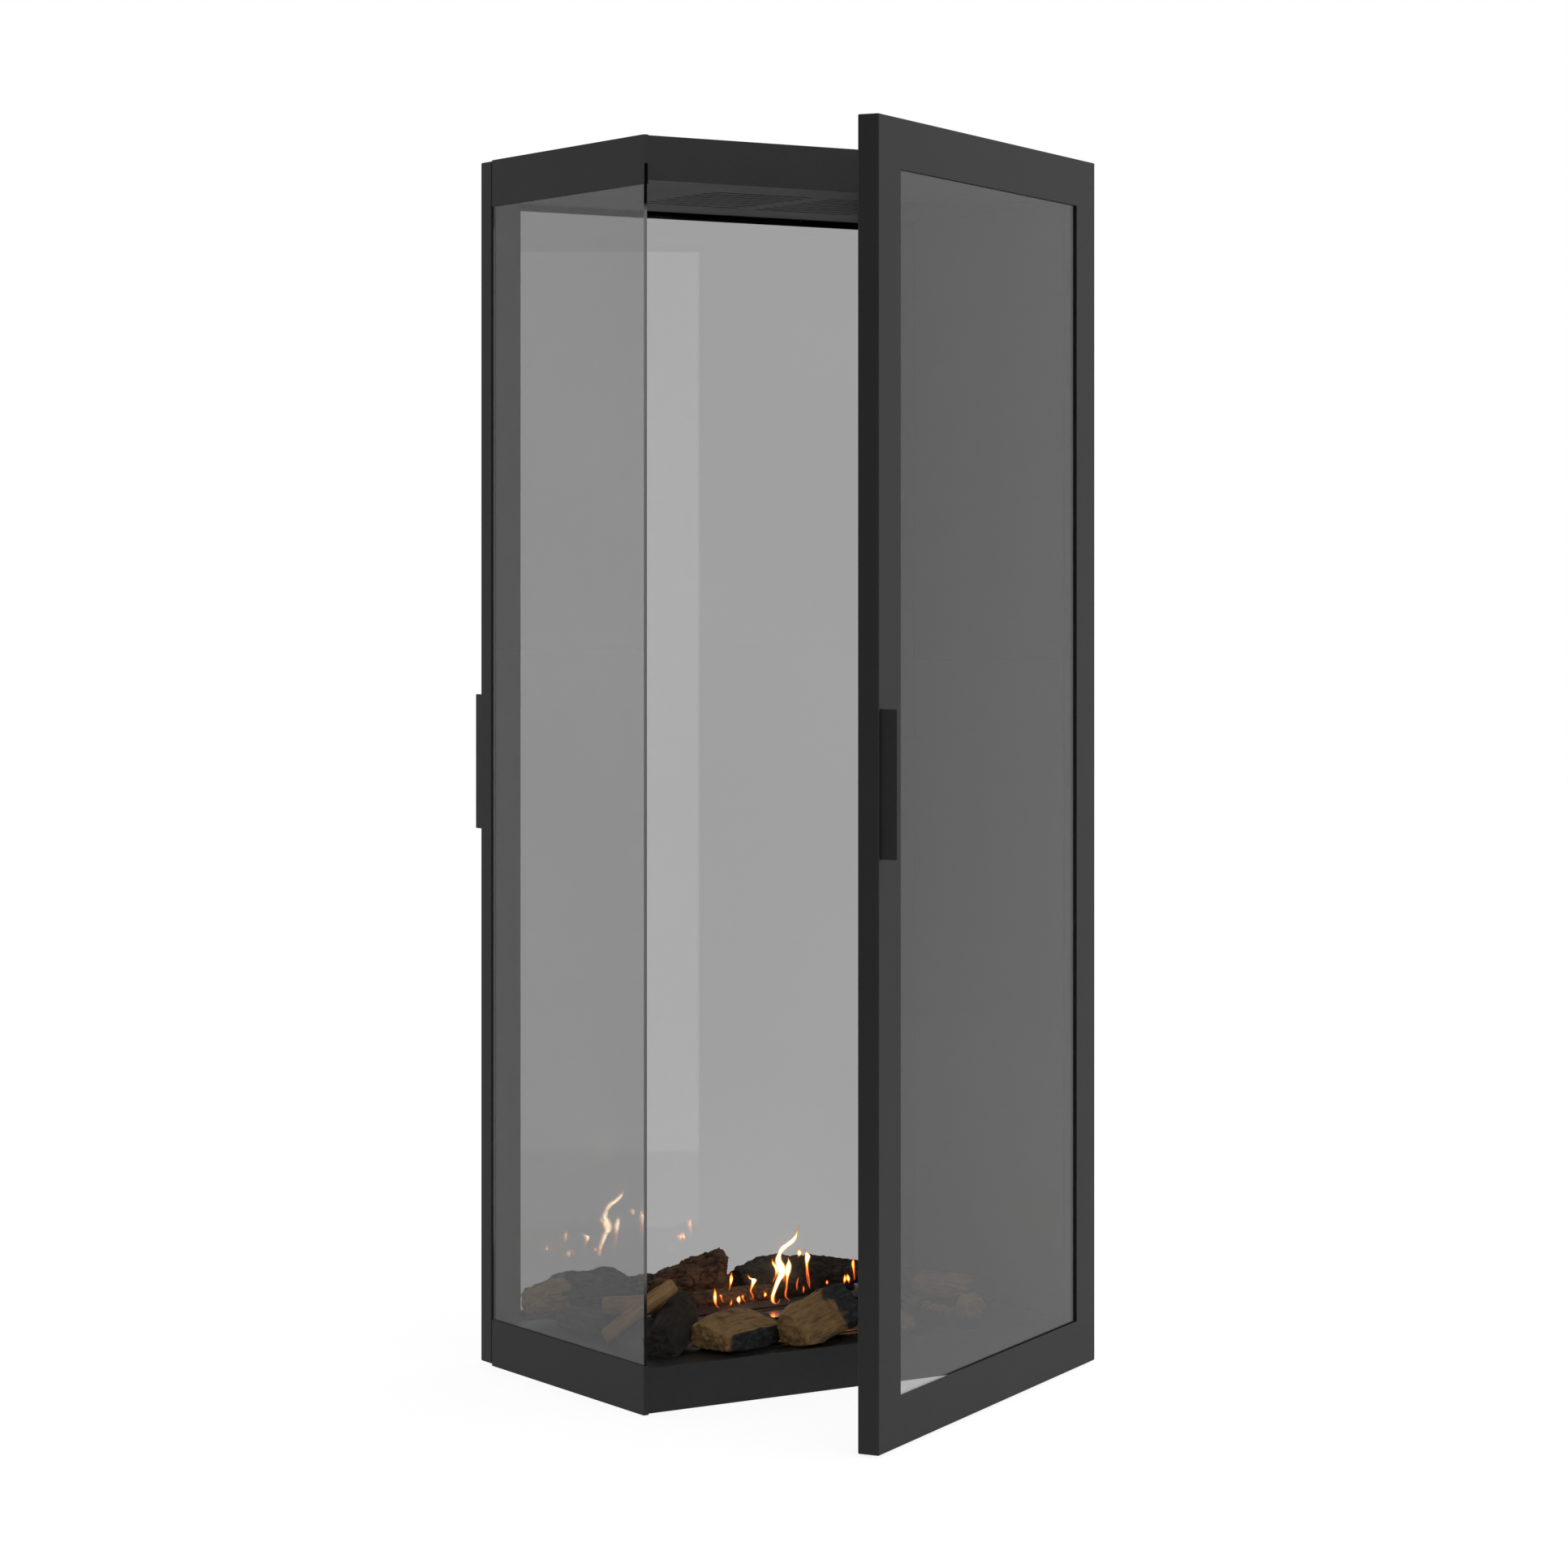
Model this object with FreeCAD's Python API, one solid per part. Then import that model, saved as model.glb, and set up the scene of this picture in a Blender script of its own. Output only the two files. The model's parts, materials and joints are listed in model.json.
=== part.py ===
import FreeCAD, Part
import os

os.makedirs("parts", exist_ok=True)

# Three-sided bioethanol fireplace, in millimetres.
# X runs across the front, Y from front to back, Z up. The origin is the middle of the base's underside.

# Body
body_width = 600.0
body_depth = 346.0
body_height = 1430.0
sheet = 2.0                    # steel sheet of the panels and plates
cut_over = 1.0                 # how far every cutter runs past the face that it opens
fit_play = 0.05                # radial play of pins, screws, magnets and spigots in their holes

# Glass side on the left
band_height = 55.0
band_leaf = 1.0                # steel on each side of the glazing groove
pane = 4.0                     # thickness of all the glass
groove_play = 0.25             # air on each face of the side glass in its groove
top_groove = 23.0
bottom_groove = 12.0
groove_stop = 1.2              # steel that closes the ends of the bottom groove
side_glass_setback = 1.5       # the side glass ends this far inside the ends of the bands
side_glass_headroom = 2.0
pad_height = 2.0
pad_length = 60.0
pad_inset = 40.0

# Header and footer
fascia_height = 50.0
fascia_setback = 6.0
fascia_reveal = 1.0            # shadow gap between a fascia and the side band

# Vent slots
slot_length = 140.0
slot_width = 6.0
slot_pitch = 20.0
slot_group_gap = 24.0
ceiling_slot_rows = 9
hearth_slot_rows = 3
hearth_slot_inset = 31.0       # first hearth row from the front and from the back of the body

# Closed wall on the right
wall_thickness = 17.0
wall_sheet = 1.5
liner_setback = 1.0            # the liner lies this far behind the posts' faces
post_depth = 36.0
wall_screw_inset = 60.0        # end screws of the skin from the top and bottom
wall_screw_spacing = 340.0     # and the next ones from those

# Doors
door_gap = 2.0
door_thickness = 25.0
door_clear_top = 1.0
door_clear_floor = 2.0
door_angle = 30.0              # degrees: the front door stands ajar
frame_face = 55.0              # width of the frame as seen from outside
frame_lip = 1.5                # thickness of the face in front of the glass
frame_round = 1.5
tube_width = 35.0              # hollow part of the frame behind the face
tube_wall = 2.0
gasket_thickness = 1.0
gasket_width = 16.0
glass_edge_gap = 2.0
bead_width = 12.0
bead_depth = 10.0
bead_screw_side_shares = (0.12, 0.5, 0.88)
bead_screw_end_shares = (0.25, 0.75)
handle_height = 160.0
handle_reach = 19.5
handle_blade = 4.0
handle_inset = 3.7             # from the free edge of the door
spigot_radius = 1.9
spigot_length = 3.0
spigot_spacing = 110.0
magnet_radius = 2.0
magnet_inset = 27.0            # from the top and the bottom of the door

# Hinges, on the right of both doors
hinge_length = 90.0
hinge_inset = 150.0            # middle of the end hinges from the top and bottom of the body
hinge_axis_out = 4.5           # the axis stands this far outside the wall
knuckle_radius = 4.0
knuckle_gap = 0.3
knuckle_clear = 0.6            # between a leaf and the other leaf's knuckle
hinge_pin_radius = 2.0
hinge_pin_head_radius = 3.2
hinge_pin_head = 1.5
leaf_thickness = 2.0
leaf_width = 19.0
leaf_screw_shares = (-0.34, 0.0, 0.34)

# Screws: one size on the wall and hinges, a thinner one in the glazing beads
screw_radius = 2.0
screw_head_radius = 3.5
screw_head = 1.8
screw_length = 8.0
bead_screw_radius = 1.5
bead_screw_head_radius = 3.0
bead_screw_head = 1.6
bead_screw_length = 17.0

# Burner
burner_length = 270.0
burner_depth = 100.0
burner_height = 16.0           # above the hearth
burner_sheet = 1.5
mouth_length = 240.0
mouth_width = 24.0
wick_length = 236.0
wick_side_gap = 0.5
wick_headroom = 2.5            # under the shutter
runner_width = 11.0
runner_height = 2.0
shutter_sheet = 1.2
shutter_length = 260.0
shutter_width = 28.0
shutter_travel = 28.0
shutter_play = 0.2
shutter_headroom = 1.3
knob_inset = 4.0               # knob pin from the end of the shutter
knob_pin_radius = 2.0
knob_pin_play = 0.5
knob_radius = 5.0
knob_height = 8.0
knob_lift = 4.0                # underside of the knob above the burner plate

# Ceramic logs: sections are shares of the girth, places are shares of the body's width and depth
log_girth = 25.0               # radius of a middling log
log_drop = 150.0               # each log is lowered from this far above the hearth
log_seat = 0.3                 # until it lies this close to what carries it
round_shares = ((1.0, 0.1), (0.7, 0.68), (0.1, 1.0), (-0.62, 0.8), (-1.02, 0.12),
                (-0.74, -0.66), (-0.2, -0.93), (0.5, -0.9), (0.88, -0.5))
slab_shares = ((1.2, 0.0), (1.0, 0.5), (0.2, 0.62), (-0.7, 0.56), (-1.2, 0.24),
               (-1.15, -0.4), (-0.6, -0.68), (0.4, -0.62), (1.05, -0.42))
billet_shares = ((1.05, 0.0), (0.8, 0.5), (-0.62, 0.96), (-1.04, 0.45), (-0.98, -0.7),
                 (-0.45, -0.95), (0.55, -0.95), (0.98, -0.55))
wedge_shares = ((1.0, -0.78), (1.06, -0.4), (-0.3, 0.98), (-0.82, 0.84), (-1.05, 0.1),
                (-0.8, -0.82), (0.2, -0.96))
ridge_shares = ((1.02, -0.62), (0.82, 0.3), (0.16, 1.0), (-0.55, 0.78), (-1.05, -0.05),
                (-0.9, -0.82), (0.3, -0.95))
flat_shares = ((1.28, -0.7), (1.24, 0.16), (-0.6, 0.82), (-1.2, 0.46), (-1.1, -0.7))
even_shares = ((0.0, 0.9), (0.2, 1.02), (0.45, 0.95), (0.72, 1.04), (1.0, 0.88))
swell_shares = ((0.0, 0.7), (0.25, 0.84), (0.5, 1.02), (0.78, 1.1), (1.0, 0.9))
taper_shares = ((0.0, 0.98), (0.2, 1.08), (0.5, 0.96), (0.75, 0.84), (1.0, 0.78))
blunt_shares = ((0.0, 0.9), (0.28, 1.06), (0.55, 1.08), (0.8, 0.94), (1.0, 0.66))
chip_shares = ((0.0, 0.55), (0.3, 1.05), (0.7, 0.95), (1.0, 0.5))

# Each log: start and end places, girth and rise towards the end, section, swelling along its length
log_table_shares = {
    "rear_left_log": ((0.063, 0.905), (0.262, 0.858), 1.1, 0.0, round_shares, swell_shares),
    "bark_log": ((0.282, 0.872), (0.482, 0.86), 1.22, 0.0, round_shares, swell_shares),
    "charred_rear_log": ((0.515, 0.846), (0.925, 0.835), 1.04, -0.1, round_shares, taper_shares),
    "red_brown_log": ((0.275, 0.715), (0.55, 0.712), 0.66, 0.0, round_shares, even_shares),
    "charcoal_log": ((0.06, 0.08), (0.208, 0.36), 0.98, 0.4, ridge_shares, even_shares),
    "front_log": ((0.211, 0.156), (0.385, 0.264), 1.0, 0.0, flat_shares, blunt_shares),
    "leaning_log": ((0.378, 0.09), (0.562, 0.258), 1.0, 0.3, wedge_shares, even_shares),
    "block_log": ((0.895, 0.685), (0.938, 0.46), 0.62, 0.0, billet_shares, even_shares),
    "charred_chunk": ((0.104, 0.775), (0.128, 0.585), 0.78, 0.0, slab_shares, even_shares),
    "lower_split_log": ((0.08, 0.465), (0.172, 0.3), 0.42, 2.5, wedge_shares, even_shares),
    "upper_split_log": ((0.122, 0.6), (0.23, 0.42), 0.44, 0.3, billet_shares, even_shares),
}
offcut_table_shares = (
    ((0.8, 0.54), (0.797, 0.234), 0.26, 0.0, round_shares, even_shares),
    ((0.783, 0.101), (0.837, 0.208), 0.68, 0.0, round_shares, chip_shares),
    ((0.935, 0.335), (0.945, 0.44), 0.6, 0.0, round_shares, chip_shares),
    ((0.606, 0.085), (0.65, 0.125), 0.5, 0.0, billet_shares, chip_shares),
)

# Places that follow from the sizes
V = FreeCAD.Vector
right_way = V(1, 0, 0)
back_way = V(0, 1, 0)
up_way = V(0, 0, 1)
floor_point = V(0, 0, 0)

left = -body_width / 2
right = body_width / 2
front = -body_depth / 2
back = body_depth / 2

band_thickness = 2 * band_leaf + pane + 2 * groove_play
band_inner = left + band_thickness
wall_inner = right - wall_thickness
skin_inner = right - wall_sheet
plate_x = (band_inner, wall_inner)
plate_y = (front + fascia_setback + sheet, back - fascia_setback - sheet)
ceiling_z = body_height - fascia_height
hearth_z = fascia_height

door_back = front - door_gap
door_face = door_back - door_thickness
door_foot = door_clear_floor
door_head = body_height - door_clear_top
lip_back = door_face + frame_lip
glass_face = lip_back + gasket_thickness
bead_face = glass_face + pane
hinge_x = right + hinge_axis_out
hinge_y = front - door_gap / 2
hinge_heights = (hinge_inset, body_height / 2, body_height - hinge_inset)
leaf_stand = knuckle_radius + knuckle_clear

burner_top = hearth_z + burner_height
burner_lid_z = burner_top - burner_sheet
shutter_top = burner_lid_z - shutter_headroom
shutter_foot = shutter_top - shutter_sheet
runner_top = shutter_foot - shutter_play
knob_x = shutter_length / 2 - knob_inset


def block(x_span, y_span, z_span):
    low = V(x_span[0], y_span[0], z_span[0])
    return Part.makeBox(x_span[1] - x_span[0], y_span[1] - y_span[0], z_span[1] - z_span[0], low)


def rod(radius, length, start, way):
    return Part.makeCylinder(radius, length, start, way)


def slot_cutter(middle, along, length, width, depth):
    # a round-ended slot, cut upwards from its middle
    side = V(-along.y, along.x, 0) * (width / 2)
    reach = along * (length / 2 - width / 2)
    tip = along * (length / 2)
    a, b = middle - reach - side, middle + reach - side
    c, d = middle + reach + side, middle - reach + side
    edges = [Part.makeLine(a, b), Part.Arc(b, middle + tip, c).toShape(),
             Part.makeLine(c, d), Part.Arc(d, middle - tip, a).toShape()]
    return Part.Face(Part.Wire(edges)).extrude(up_way * depth)


def pan_screw(seat, way, radius, length, head_radius, head_height):
    shank = rod(radius, length, seat, way)
    head = rod(head_radius, head_height, seat, way * -1)
    return shank.fuse(head).removeSplitter()


def vent_cutters(rows, plate_z):
    shift = (slot_length + slot_group_gap) / 2
    low = plate_z - cut_over
    return [slot_cutter(V(x, y, low), right_way, slot_length, slot_width, sheet + 2 * cut_over)
            for y in rows for x in (-shift, shift)]


def mirrored(shape):
    return shape.mirror(floor_point, back_way)


# Header, footer and the plates between them

def fascia(y_span, z_span):
    return block((band_inner + fascia_reveal, wall_inner), y_span, z_span)


def deck(z_span):
    # an end plate that also closes the wall on the right
    over_wall = block((wall_inner, right), (front, back), z_span)
    return block(plate_x, plate_y, z_span).fuse(over_wall).removeSplitter()


def shell_pieces():
    front_y = (front + fascia_setback, front + fascia_setback + sheet)
    footer = fascia(front_y, (0, hearth_z))
    header = fascia(front_y, (ceiling_z, body_height))
    middle_row = (ceiling_slot_rows - 1) / 2
    ceiling_rows = [(i - middle_row) * slot_pitch for i in range(ceiling_slot_rows)]
    front_rows = [front + hearth_slot_inset + i * slot_pitch for i in range(hearth_slot_rows)]
    hearth_rows = front_rows + [-y for y in front_rows]
    top_foot = body_height - sheet
    ceiling = block(plate_x, plate_y, (ceiling_z, ceiling_z + sheet))
    top = deck((top_foot, body_height))
    hearth = block(plate_x, plate_y, (hearth_z - sheet, hearth_z))
    return {
        "footer_front": footer,
        "footer_rear": mirrored(footer),
        "header_front": header,
        "header_rear": mirrored(header),
        "base_plate": deck((0, sheet)),
        "hearth_plate": hearth.cut(vent_cutters(hearth_rows, hearth_z - sheet)),
        "ceiling_plate": ceiling.cut(vent_cutters(ceiling_rows, ceiling_z)),
        "top_plate": top.cut(vent_cutters(ceiling_rows, top_foot)),
    }


# Fixed glass on the left, standing on pads in the bottom band

def glass_side_pieces():
    band_x = (left, band_inner)
    groove_x = (left + band_leaf, band_inner - band_leaf)
    pane_x = (groove_x[0] + groove_play, groove_x[1] - groove_play)
    top_foot = body_height - band_height
    groove_foot = band_height - bottom_groove
    pane_foot = groove_foot + pad_height
    pane_head = top_foot + top_groove - side_glass_headroom
    top = block(band_x, (front, back), (top_foot, body_height))
    top_cut = block(groove_x, (front - cut_over, back + cut_over),
                    (top_foot - cut_over, top_foot + top_groove))
    bottom = block(band_x, (front, back), (0, band_height))
    bottom_cut = block(groove_x, (front + groove_stop, back - groove_stop),
                       (groove_foot, band_height + cut_over))
    pad = block(pane_x, (front + pad_inset, front + pad_inset + pad_length), (groove_foot, pane_foot))
    return {
        "side_band_top": top.cut(top_cut),
        "side_band_bottom": bottom.cut(bottom_cut),
        "side_glass": block(pane_x, (front + side_glass_setback, back - side_glass_setback),
                            (pane_foot, pane_head)),
        "side_glass_pads": [pad, mirrored(pad)],
    }


# Hinges: the wall leaf has the outer knuckles and holds the pin, the door leaf has the middle one

def knuckle_span(index, height):
    low = height - hinge_length / 2 + index * hinge_length / 3
    trim = knuckle_gap if index == 1 else 0
    return (low + trim, low + hinge_length / 3 - trim)


def leaf_screw_points(height, way):
    y = hinge_y + way * (leaf_stand + leaf_width / 2)
    return [V(right + leaf_thickness, y, height + share * hinge_length) for share in leaf_screw_shares]


def screw_hole(seat, way):
    start = seat - way * cut_over
    return rod(screw_radius + fit_play, screw_length + cut_over, start, way)


def hinge_leaf(height, way, knuckles):
    leaf_x = (right, right + leaf_thickness)
    near = hinge_y + way * leaf_stand
    far = near + way * leaf_width
    z_span = (height - hinge_length / 2, height + hinge_length / 2)
    leaf = block(leaf_x, (min(near, far), max(near, far)), z_span)
    for index in knuckles:
        span = knuckle_span(index, height)
        web = block(leaf_x, (min(near, hinge_y), max(near, hinge_y)), span)
        barrel = rod(knuckle_radius, span[1] - span[0], V(hinge_x, hinge_y, span[0]), up_way)
        leaf = leaf.fuse([web, barrel])
    bore_foot = V(hinge_x, hinge_y, z_span[0] - cut_over)
    bore = rod(hinge_pin_radius + fit_play, hinge_length + 2 * cut_over, bore_foot, up_way)
    holes = [screw_hole(seat, right_way * -1) for seat in leaf_screw_points(height, way)]
    return leaf.cut([bore] + holes).removeSplitter()


def hinge_pin(height):
    foot = V(hinge_x, hinge_y, height - hinge_length / 2)
    seat = V(hinge_x, hinge_y, height + hinge_length / 2)
    pin = rod(hinge_pin_radius, hinge_length, foot, up_way)
    head = rod(hinge_pin_head_radius, hinge_pin_head, seat, up_way)
    return pin.fuse(head).removeSplitter()


def big_screw(seat):
    return pan_screw(seat, right_way * -1, screw_radius, screw_length, screw_head_radius, screw_head)


def wall_hinge_pieces():
    leaves = [hinge_leaf(height, 1, (0, 2)) for height in hinge_heights]
    pins = [hinge_pin(height) for height in hinge_heights]
    return {
        "hinge_wall_leaves": leaves + [mirrored(leaf) for leaf in leaves],
        "hinge_pins": pins + [mirrored(pin) for pin in pins],
    }


# Closed wall on the right: two posts, an outer skin and a liner between the posts

def wall_pieces():
    tall = (sheet, body_height - sheet)
    tall_cut = (-cut_over, body_height + cut_over)
    post_y = (front, front + post_depth)
    post = block((wall_inner, skin_inner), post_y, tall)
    hollow = block((wall_inner + wall_sheet, skin_inner - wall_sheet),
                   (post_y[0] + wall_sheet, post_y[1] - wall_sheet), tall_cut)
    low = wall_screw_inset
    high = body_height - wall_screw_inset
    heights = (low, low + wall_screw_spacing, high - wall_screw_spacing, high)
    skin_seats = [V(right, front + post_depth / 2, height) for height in heights]
    leaf_seats = [seat for height in hinge_heights for seat in leaf_screw_points(height, 1)]
    seats = skin_seats + leaf_seats
    holes = [screw_hole(seat, right_way * -1) for seat in seats]
    post = post.cut([hollow] + holes)
    skin = block((skin_inner, right), (front, back), tall)
    screws = [big_screw(seat) for seat in seats]
    liner_x = wall_inner + liner_setback
    return {
        "wall_post_front": post,
        "wall_post_rear": mirrored(post),
        "wall_skin": skin.cut(holes + [mirrored(hole) for hole in holes]),
        "wall_liner": block((liner_x, liner_x + wall_sheet), (post_y[1], -post_y[1]), tall),
        "wall_screws": screws + [mirrored(screw) for screw in screws],
    }


# Doors, drawn closed in front

def frame_ring(inset_out, inset_in, y_span):
    # a rectangular ring between two insets from the door's edges
    outer = block((left + inset_out, right - inset_out), y_span,
                  (door_foot + inset_out, door_head - inset_out))
    inner = block((left + inset_in, right - inset_in), (y_span[0] - cut_over, y_span[1] + cut_over),
                  (door_foot + inset_in, door_head - inset_in))
    return outer.cut(inner)


def ring_strips(inset, width, y_span):
    # the same ring as four strips, the upright ones running through
    x_in = (left + inset, right - inset)
    z_in = (door_foot + inset, door_head - inset)
    side = (x_in[0] + width, x_in[1] - width)
    return [
        block((x_in[0], side[0]), y_span, z_in),
        block((side[1], x_in[1]), y_span, z_in),
        block(side, y_span, (z_in[0], z_in[0] + width)),
        block(side, y_span, (z_in[1] - width, z_in[1])),
    ]


def mitre_prism(corners):
    points = [V(x, door_face - cut_over, z) for x, z in corners]
    wire = Part.makePolygon(points + points[:1])
    return Part.Face(wire).extrude(back_way * (door_thickness + 2 * cut_over))


def mitred(frame):
    # outer and inner corners of the four mitres, each a little past the frame
    x_out, x_in = (left - cut_over, right + cut_over), frame_face + cut_over
    z_out = (door_foot - cut_over, door_head + cut_over)
    outer = [(x_out[0], z_out[0]), (x_out[1], z_out[0]), (x_out[1], z_out[1]), (x_out[0], z_out[1])]
    inner = [(left + x_in, door_foot + x_in), (right - x_in, door_foot + x_in),
             (right - x_in, door_head - x_in), (left + x_in, door_head - x_in)]
    names = ("rail_bottom", "stile_hinge", "rail_top", "stile_free")
    pieces = {}
    for i, name in enumerate(names):
        j = (i + 1) % len(names)
        prism = mitre_prism((outer[i], outer[j], inner[j], inner[i]))
        pieces[name] = frame.common(prism)
    return pieces


def bead_screw_seats():
    # seat and driving direction of each screw, from the sight side of the bead into the tube
    reach = tube_width + bead_width
    y = bead_face + bead_depth / 2
    seats = []
    for share in bead_screw_side_shares:
        z = door_foot + share * (door_head - door_foot)
        seats.append((V(left + reach, y, z), right_way * -1))
        seats.append((V(right - reach, y, z), right_way))
    for share in bead_screw_end_shares:
        x = left + share * body_width
        seats.append((V(x, y, door_foot + reach), up_way * -1))
        seats.append((V(x, y, door_head - reach), up_way))
    return seats


def handle_piece():
    x = left + handle_inset
    middle = (door_foot + door_head) / 2
    blade = block((x, x + handle_blade), (door_face - handle_reach, door_face),
                  (middle - handle_height / 2, middle + handle_height / 2))
    edges = [e for e in blade.Edges if e.BoundBox.YMax < door_face - handle_reach / 2]
    blade = blade.makeFillet(handle_blade / 4, edges)
    spots = [V(x + handle_blade / 2, door_face, middle + way * spigot_spacing / 2) for way in (-1, 1)]
    spigots = [rod(spigot_radius, spigot_length, spot, back_way) for spot in spots]
    holes = [rod(spigot_radius + fit_play, spigot_length + fit_play, spot, back_way) for spot in spots]
    return blade.fuse(spigots).removeSplitter(), holes


def door_pieces():
    outer = block((left, right), (door_face, door_back), (door_foot, door_head))
    outer = outer.makeFillet(frame_round, outer.Edges)
    sight = block((left + frame_face, right - frame_face), (door_face - cut_over, door_back + cut_over),
                  (door_foot + frame_face, door_head - frame_face))
    rebate = block((left + tube_width, right - tube_width), (lip_back, door_back + cut_over),
                   (door_foot + tube_width, door_head - tube_width))
    hollow = frame_ring(tube_wall, tube_width - tube_wall, (lip_back + tube_wall, door_back - tube_wall))
    handle, handle_holes = handle_piece()
    seats = bead_screw_seats()
    bead_holes = [rod(bead_screw_radius + fit_play, bead_screw_length + cut_over, seat - way * cut_over, way)
                  for seat, way in seats]
    leaf_seats = [seat for height in hinge_heights for seat in leaf_screw_points(height, -1)]
    leaf_holes = [screw_hole(seat, right_way * -1) for seat in leaf_seats]
    magnet_spots = [V(left + band_thickness / 2, door_back - tube_wall, z)
                    for z in (door_foot + magnet_inset, door_head - magnet_inset)]
    magnet_holes = [rod(magnet_radius + fit_play, tube_wall + cut_over, spot, back_way)
                    for spot in magnet_spots]
    frame = outer.cut([sight, rebate, hollow] + handle_holes + bead_holes + leaf_holes + magnet_holes)
    pieces = mitred(frame)
    beads = ring_strips(tube_width, bead_width, (bead_face, bead_face + bead_depth))
    glass_inset = tube_width + glass_edge_gap
    pieces["glass"] = block((left + glass_inset, right - glass_inset), (glass_face, bead_face),
                            (door_foot + glass_inset, door_head - glass_inset))
    pieces["gasket"] = ring_strips(glass_inset, gasket_width, (lip_back, glass_face))
    pieces["beads"] = [bead.cut(bead_holes) for bead in beads]
    pieces["bead_screws"] = [pan_screw(seat, way, bead_screw_radius, bead_screw_length,
                                       bead_screw_head_radius, bead_screw_head) for seat, way in seats]
    pieces["handle"] = handle
    pieces["magnets"] = [rod(magnet_radius, tube_wall, spot, back_way) for spot in magnet_spots]
    pieces["hinge_leaves"] = [hinge_leaf(height, -1, (1,)) for height in hinge_heights]
    pieces["hinge_screws"] = [big_screw(seat) for seat in leaf_seats]
    return pieces


def swung(shape):
    turned = shape.copy()
    turned.rotate(V(hinge_x, hinge_y, 0), up_way, door_angle)
    return turned


def both_doors():
    pieces = {}
    for name, shapes in door_pieces().items():
        group = shapes if isinstance(shapes, list) else [shapes]
        pieces["front_" + name] = [swung(shape) for shape in group]
        pieces["rear_" + name] = [mirrored(shape) for shape in group]
    return pieces


# Burner on the hearth, with its shutter slid open to the back

def burner_pieces():
    half_x, half_y = burner_length / 2, burner_depth / 2
    in_x, in_y = half_x - burner_sheet, half_y - burner_sheet
    box = block((-half_x, half_x), (-half_y, half_y), (hearth_z, burner_lid_z))
    box = box.cut(block((-in_x, in_x), (-in_y, in_y), (hearth_z + burner_sheet, burner_lid_z + cut_over)))
    runner = block((in_x - runner_width, in_x), (-in_y, in_y), (runner_top - runner_height, runner_top))
    box = box.fuse([runner, runner.mirror(floor_point, right_way)]).removeSplitter()
    plate = block((-half_x, half_x), (-half_y, half_y), (burner_lid_z, burner_top))
    cut_depth = burner_sheet + 2 * cut_over
    mouth = slot_cutter(V(0, 0, burner_lid_z - cut_over), right_way, mouth_length, mouth_width, cut_depth)
    pin_slot_width = 2 * (knob_pin_radius + knob_pin_play)
    pin_slot = slot_cutter(V(knob_x, shutter_travel / 2, burner_lid_z - cut_over), back_way,
                           shutter_travel + pin_slot_width, pin_slot_width, cut_depth)
    shutter = block((-shutter_length / 2, shutter_length / 2),
                    (shutter_travel - shutter_width / 2, shutter_travel + shutter_width / 2),
                    (shutter_foot, shutter_top))
    knob_foot = burner_top + knob_lift
    pin = rod(knob_pin_radius, knob_foot - shutter_top, V(knob_x, shutter_travel, shutter_top), up_way)
    knob = rod(knob_radius, knob_height, V(knob_x, shutter_travel, knob_foot), up_way)
    rim = [e for e in knob.Edges if e.BoundBox.ZMin > knob_foot + knob_height / 2 and e.Closed]
    wick_y = in_y - wick_side_gap
    wick = block((-wick_length / 2, wick_length / 2), (-wick_y, wick_y),
                 (hearth_z + burner_sheet, shutter_foot - wick_headroom))
    return {
        "burner_box": box,
        "burner_plate": plate.cut([mouth, pin_slot]),
        "burner_wick": wick,
        "burner_shutter": shutter.fuse(pin).removeSplitter(),
        "shutter_knob": knob.makeFillet(knob_radius / 4, rim),
    }


# Ceramic logs

def log_solid(start_share, end_share, girth_share, rise_share, section, girths):
    start = V(left + start_share[0] * body_width, front + start_share[1] * body_depth, 0)
    end = V(left + end_share[0] * body_width, front + end_share[1] * body_depth, rise_share * log_girth)
    along = (end - start).normalize()
    side = along.cross(up_way).normalize()
    rise = side.cross(along)
    wires = []
    for place_share, swell_share in girths:
        middle = start + (end - start) * place_share
        reach = log_girth * girth_share * swell_share
        ring = [middle + side * (reach * a) + rise * (reach * b) for a, b in section]
        wires.append(Part.makePolygon(ring + ring[:1]))
    return Part.makeLoft(wires, True, True)


def over_each_other(one, other):
    a, b = one.BoundBox, other.BoundBox
    return a.XMin < b.XMax and b.XMin < a.XMax and a.YMin < b.YMax and b.YMin < a.YMax


def lowered(log, carriers):
    # let the log down in safe steps until it lies on the hearth or on what is under it
    log.translate(up_way * (hearth_z + log_drop - log.BoundBox.ZMin))
    under = [carrier for carrier in carriers if over_each_other(log, carrier)]
    while True:
        floor_gap = log.BoundBox.ZMin - hearth_z
        gap = min([floor_gap] + [log.distToShape(carrier)[0] for carrier in under])
        if gap == floor_gap:
            log.translate(up_way * -gap)
            return log
        if gap < log_seat:
            return log
        log.translate(up_way * (log_seat / 2 - gap))


def log_pieces(burner):
    carriers = [burner["burner_box"], burner["burner_plate"]]
    pieces = {}
    for name, shares in log_table_shares.items():
        pieces[name] = lowered(log_solid(*shares), carriers)
        carriers.append(pieces[name])
    pieces["log_offcuts"] = []
    for shares in offcut_table_shares:
        offcut = lowered(log_solid(*shares), carriers)
        carriers.append(offcut)
        pieces["log_offcuts"].append(offcut)
    return pieces


def write(pieces):
    for name, shapes in pieces.items():
        solids = shapes if isinstance(shapes, list) else [shapes]
        for solid in solids:
            if not solid.isValid() or len(solid.Solids) != 1:
                print(name, "is not one sound solid")
        shape = solids[0] if len(solids) == 1 else Part.makeCompound(solids)
        shape.exportStep("parts/" + name + ".step")


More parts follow.
